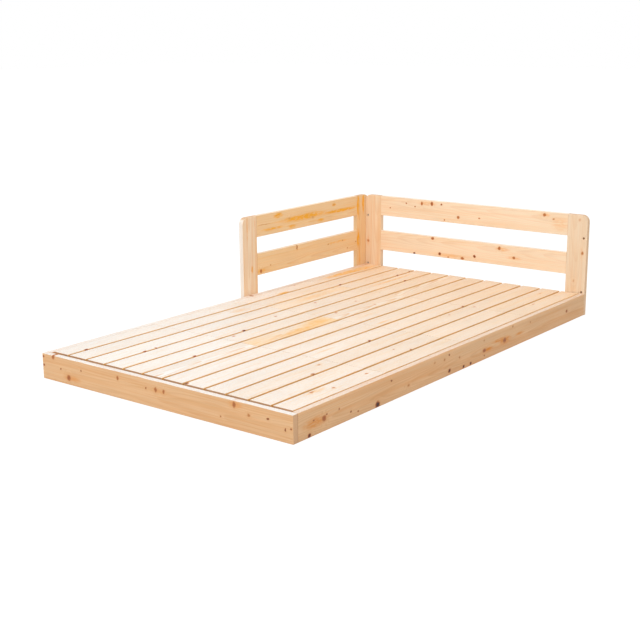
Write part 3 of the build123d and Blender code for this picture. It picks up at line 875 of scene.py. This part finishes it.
def growSection(name, section, slatRow):
    node = name + "_slats"
    low, high = (Vector(point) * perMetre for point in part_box(node))
    size, centre = high - low, (low + high) / 2
    untrimmed = size.x + deck["firstTrim"] + deck["lastTrim"]
    fullWidth = (untrimmed - deck["gap"] * (deck["count"] - 1)) / deck["count"]
    values = {
        "Count": deck["count"],
        "First Middle": (low.x - deck["firstTrim"] + fullWidth / 2 - centre.x) * millimetre,
        "Pitch": (fullWidth + deck["gap"]) * millimetre,
        "Width": fullWidth * millimetre,
        "First Trim": deck["firstTrim"] * millimetre,
        "Last Trim": deck["lastTrim"] * millimetre,
        "Length": size.y * millimetre,
        "Thickness": size.z * millimetre,
        "Rounding": deck["round"] * millimetre,
        "Round Steps": deck["roundSteps"],
        "Middle": centre * millimetre,
        "Turn": (0.0, 0.0, deck["skew"]),
        "Hot Slat": section["hotSlat"],
        "Hot Amount": section["heat"],
        "Seed": section["seed"],
        "Material": woodFinish(name + "Wood", sectionLook(section, low, high), slatWood),
    }
    piece = grow(node + "_finished", slatRow, values)
    bevel = piece.modifiers.new("ends", "BEVEL")
    bevel.width = deck["endRound"] * millimetre
    bevel.segments = deck["endRoundSteps"]
    bevel.limit_method = "ANGLE"
    bevel.angle_limit = math.radians(deck["endAngle"])
    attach(piece, "root")
    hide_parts(node)


slatRow = slatTree()
for name, section in deck["sections"].items():
    growSection(name, section, slatRow)
print("deck grown:", len(deck["sections"]), "sections")


# Wood screws: each packed screw gives its place, and a node tree grows one with a cross recess there
screw = {
    "sides": 12,
    "shankShare": 0.5,
    "tip": 5.0,
    "recessReach": 0.52,
    "recessWidth": 0.13,
    "recessDepth": 1.5,
    "seed": 4,
    "merge": 0.00001,
    "rim": 0.0001,
}


def looseIslands(shape):
    # the corner points of each loose island of a mesh
    islands, seen = [], set()
    for first in shape.verts:
        if first in seen:
            continue
        island, waiting = [], [first]
        seen.add(first)
        while waiting:
            vert = waiting.pop()
            island.append(vert.co.copy())
            for edge in vert.link_edges:
                other = edge.other_vert(vert)
                if other not in seen:
                    seen.add(other)
                    waiting.append(other)
        islands.append(island)
    return islands


def screwPlaces(node):
    # each island is a screw along its longest side, and its head is the end with the rim
    shape = bmesh.new()
    shape.from_mesh(nodes[node].data)
    bmesh.ops.remove_doubles(shape, verts=shape.verts, dist=screw["merge"])
    heads, aims = [], []
    for island in looseIslands(shape):
        low = Vector([min(point[i] for point in island) for i in range(3)])
        high = Vector([max(point[i] for point in island) for i in range(3)])
        size = high - low
        axis = max(range(3), key=lambda i: size[i])
        rimLow = sum(point[axis] - low[axis] < screw["rim"] for point in island)
        rimHigh = sum(high[axis] - point[axis] < screw["rim"] for point in island)
        head, aim = (low + high) / 2, Vector((0, 0, 0))
        head[axis] = low[axis] if rimLow > rimHigh else high[axis]
        aim[axis] = 1 if rimLow > rimHigh else -1
        heads.append(head)
        aims.append(aim)
    shape.free()
    headRadius = min(size[i] for i in range(3) if i != axis) / 2
    places = bpy.data.meshes.new(node + "Places")
    places.from_pydata(heads, [], [])
    aimOfEach = places.attributes.new("aim", "FLOAT_VECTOR", "POINT")
    aimOfEach.data.foreach_set("vector", [part for aim in aims for part in aim])
    return places, headRadius, size[axis]


def screwTree():
    tree = ShapeTree("crossScrews")
    places = tree.input("Places", "Geometry")
    sides = tree.input("Sides", "Int")
    headRadius = tree.input("Head Radius")
    shankRadius = tree.input("Shank Radius")
    length = tree.input("Length")
    tip = tree.input("Tip")
    reach = tree.input("Recess Reach")
    width = tree.input("Recess Width")
    depth = tree.input("Recess Depth")
    seed = tree.input("Seed", "Int")
    material = tree.input("Material", "Material")

    # the body along +Z from its head: a countersunk cone, a shank and a point, merged to one skin
    coneDepth = headRadius - shankRadius
    shankLength = length - tip - coneDepth
    cap = tree.node("GeometryNodeMeshCircle", {"fill_type": "NGON"},
                    {"Vertices": sides, "Radius": headRadius})
    cap = tree.node("GeometryNodeFlipFaces", values={"Mesh": cap})
    cone = tree.node("GeometryNodeMeshCone", {"fill_type": "NONE"}, {
        "Vertices": sides, "Radius Top": shankRadius, "Radius Bottom": headRadius, "Depth": coneDepth})
    shank = tree.node("GeometryNodeMeshCone", {"fill_type": "NONE"}, {
        "Vertices": sides, "Radius Top": shankRadius, "Radius Bottom": shankRadius, "Depth": shankLength})
    shank = tree.node("GeometryNodeTransform", values={
        "Geometry": shank, "Translation": tree.vector(0.0, 0.0, coneDepth)})
    point = tree.node("GeometryNodeMeshCone", {"fill_type": "NONE"}, {
        "Vertices": sides, "Radius Top": 0.0, "Radius Bottom": shankRadius, "Depth": tip})
    point = tree.node("GeometryNodeTransform", values={
        "Geometry": point, "Translation": tree.vector(0.0, 0.0, length - tip)})
    skin = tree.node("GeometryNodeJoinGeometry", values={"Geometry": cap})
    for piece in (cone, shank, point):
        tree.feed(skin.socket.node.inputs[0], piece)
    body = tree.node("GeometryNodeMergeByDistance", values={"Geometry": skin, "Distance": screw["merge"]})

    # the cross recess, cut by two slots
    cut = tree.node("GeometryNodeMeshBoolean", {"operation": "DIFFERENCE"}, {"Mesh 1": body})
    for size in (tree.vector(reach * 2, width, depth * 2), tree.vector(width, reach * 2, depth * 2)):
        tree.feed(cut.socket.node.inputs[1], tree.node("GeometryNodeMeshCube", values={"Size": size}))

    aim = tree.node("GeometryNodeInputNamedAttribute", {"data_type": "FLOAT_VECTOR"}, {"Name": "aim"})
    facing = tree.node("FunctionNodeAlignRotationToVector", {"axis": "Z"}, {"Vector": aim})
    screws = tree.node("GeometryNodeInstanceOnPoints", values={
        "Points": places, "Instance": cut, "Rotation": facing})
    spin = tree.node("FunctionNodeRandomValue", {"data_type": "FLOAT"},
                     {"Max_001": math.pi, "Seed": seed}, "Value_001")
    screws = tree.node("GeometryNodeRotateInstances", values={
        "Instances": screws, "Rotation": tree.vector(0.0, 0.0, spin), "Local Space": True})
    solid = tree.node("GeometryNodeRealizeInstances", values={"Geometry": screws})
    tree.finish(tree.node("GeometryNodeSetMaterial", values={"Geometry": solid, "Material": material}))
    return tree.group


# Steel: screws, bolts and nuts are zinc plated, with faint machining marks
zincPlate = {
    "bright": screenColour(196, 198, 202),
    "dull": screenColour(150, 152, 156),
    "roughness": 0.32,
    "cloudScale": 240.0,
    "scratchScale": (900.0, 2600.0, 900.0),
}


def zincFinish():
    shade = Finish("zincPlate")
    place = shade.node("ShaderNodeTexCoord", out="Object")
    cloud = shade.noise(place, zincPlate["cloudScale"], 3.0, 0.55)
    drawnOut = shade.vectorMath("MULTIPLY", place, zincPlate["scratchScale"])
    scratch = shade.noise(drawnOut, 1.0, 2.0, 0.6)
    colour = shade.mix(cloud, zincPlate["bright"], zincPlate["dull"])
    rough = zincPlate["roughness"] + (cloud - 0.5) * 0.25 + (scratch - 0.5) * 0.12
    bump = shade.node("ShaderNodeBump", values={"Strength": 0.15, "Distance": 0.0002, "Height": scratch})
    return shade.finish({"Metallic": 1.0}, {"Base Color": colour, "Roughness": rough, "Normal": bump})


beech = {
    "body": screenColour(214, 172, 128),
    "fleck": screenColour(176, 124, 80),
    "fleckScale": (600.0, 600.0, 600.0),
    "specular": 0.3,
}


def beechFinish():
    shade = Finish("beech")
    place = shade.node("ShaderNodeTexCoord", out="Object")
    fleck = shade.noise(shade.vectorMath("MULTIPLY", place, beech["fleckScale"]), 1.0, 3.0, 0.6)
    colour = shade.mix(shade.fade(fleck, 0.45, 0.7, 0.0, 0.7), beech["body"], beech["fleck"])
    bump = shade.node("ShaderNodeBump", values={"Strength": 0.3, "Distance": 0.0002, "Height": fleck})
    varied = {"Base Color": colour, "Roughness": 0.5 + fleck * 0.2, "Normal": bump}
    return shade.finish({"Specular IOR Level": beech["specular"]}, varied)


zinc, beechWood = zincFinish(), beechFinish()
crossScrews = screwTree()
for node in [name for name in nodes if name.endswith("screws")]:
    places, headRadius, length = screwPlaces(node)
    values = {
        "Sides": screw["sides"],
        "Head Radius": headRadius,
        "Shank Radius": headRadius * screw["shankShare"],
        "Length": length,
        "Tip": screw["tip"] * millimetre,
        "Recess Reach": headRadius * screw["recessReach"],
        "Recess Width": headRadius * screw["recessWidth"] * 2,
        "Recess Depth": screw["recessDepth"] * millimetre,
        "Seed": screw["seed"],
        "Material": zinc,
    }
    piece = grow(node + "_finished", crossScrews, values, places)
    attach(piece, "root")
    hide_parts(node)
    print(node, len(places.vertices), "screws,", len(piece.data.polygons), "faces")
for node in nodes:
    if any(word in node for word in ("bolts", "nuts")):
        dress(node, zinc)
    elif "dowels" in node:
        dress(node, beechWood)
print("steel and dowels finished")


# Plain studio: white around, soft light from above and from the foot end
studio = {
    "roomLight": 0.64,
    "floorColour": (0.86, 0.86, 0.86, 1.0),
    "floorWhite": 0.72,
    "floorGlow": 1.2,
    "floorHalf": 30.0,
    "lamps": [
        {"name": "overhead", "place": (0.3, -0.7, 4.0), "aim": (0.0, -0.1, 0.0), "side": 4.0, "power": 72.0},
        {"name": "footSide", "place": (-0.6, -8.0, 3.0), "aim": (0.0, 0.0, 0.2), "side": 3.0, "power": 95.0},
        {"name": "rightSide", "place": (7.0, -1.5, 3.0), "aim": (0.0, 0.0, 0.2), "side": 3.0, "power": 16.0},
    ],
}


def cameraSees(shade):
    path = shade.node("ShaderNodeLightPath", out="Is Camera Ray")
    return path.larger(shade.other(path, "Is Glossy Ray")).larger(shade.other(path, "Is Transmission Ray"))


def makeFloor():
    half = studio["floorHalf"]
    mesh = bpy.data.meshes.new("floor")
    corners = [(-half, -half, 0), (half, -half, 0), (half, half, 0), (-half, half, 0)]
    mesh.from_pydata(corners, [], [(0, 1, 2, 3)])
    floor = bpy.data.objects.new("floor", mesh)
    bpy.context.collection.objects.link(floor)
    shade = Finish("floorPaper")
    seen = cameraSees(shade)
    paper = shade.node("ShaderNodeBsdfDiffuse", values={"Color": studio["floorColour"]})
    white = shade.node("ShaderNodeEmission", values={"Color": (1, 1, 1, 1), "Strength": studio["floorGlow"]})
    both = shade.node("ShaderNodeMixShader", values={0: seen * studio["floorWhite"], 1: paper, 2: white})
    shade.node("ShaderNodeOutputMaterial", values={"Surface": both})
    mesh.materials.append(shade.material)


def makeRoom():
    world = bpy.data.worlds.new("room")
    bpy.context.scene.world = world
    world.use_nodes = True
    world.node_tree.nodes.clear()
    shade = Tree(world.node_tree)
    strength = studio["roomLight"] + cameraSees(shade) * (1 - studio["roomLight"])
    light = shade.node("ShaderNodeBackground", values={"Color": (1, 1, 1, 1), "Strength": strength})
    shade.node("ShaderNodeOutputWorld", values={"Surface": light})


def makeLamps():
    for lamp in studio["lamps"]:
        data = bpy.data.lights.new(lamp["name"], "AREA")
        data.shape = "SQUARE"
        data.size = lamp["side"]
        data.energy = lamp["power"]
        made = bpy.data.objects.new(lamp["name"], data)
        made.location = lamp["place"]
        aim = Vector(lamp["aim"]) - Vector(lamp["place"])
        made.rotation_euler = aim.to_track_quat("-Z", "Y").to_euler()
        bpy.context.collection.objects.link(made)


makeFloor()
makeRoom()
makeLamps()
bpy.context.scene.view_settings.view_transform = "Standard"
print("studio lit")
